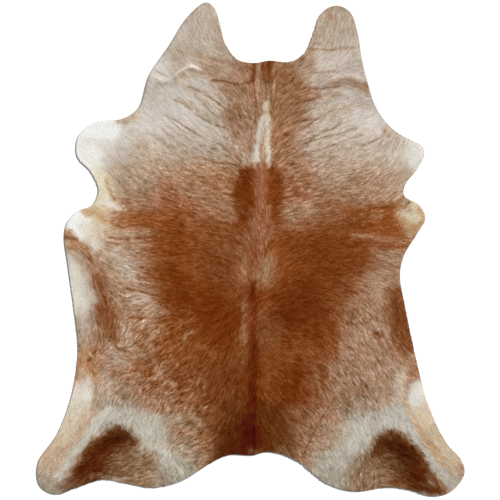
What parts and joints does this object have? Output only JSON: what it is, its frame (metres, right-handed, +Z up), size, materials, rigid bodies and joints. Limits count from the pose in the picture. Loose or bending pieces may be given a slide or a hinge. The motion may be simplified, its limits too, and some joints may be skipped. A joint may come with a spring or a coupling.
{
  "type": "cowhide rug",
  "caption": "Whole tanned cowhide with its hair on, spread flat as a rug: neck flaps, foreleg and elbow lobes, spread hind legs, brindled brown and cream coat.",
  "frame": {"origin": "centre of the hide's bounding rectangle, on the surface the hide lies on", "axes": "+X to the right of the hide as laid with its neck end away, +Y towards the neck end along the spine, +Z up from the surface it lies on"},
  "size_m": [1.9492, 2.2512, 0.0098],
  "materials": {
    "hide": "short smooth hair on a tanned hide, soft sheen, suede underneath"
  },
  "bodies": {
    "root": {"hide": "hide"}
  },
  "joints": []
}
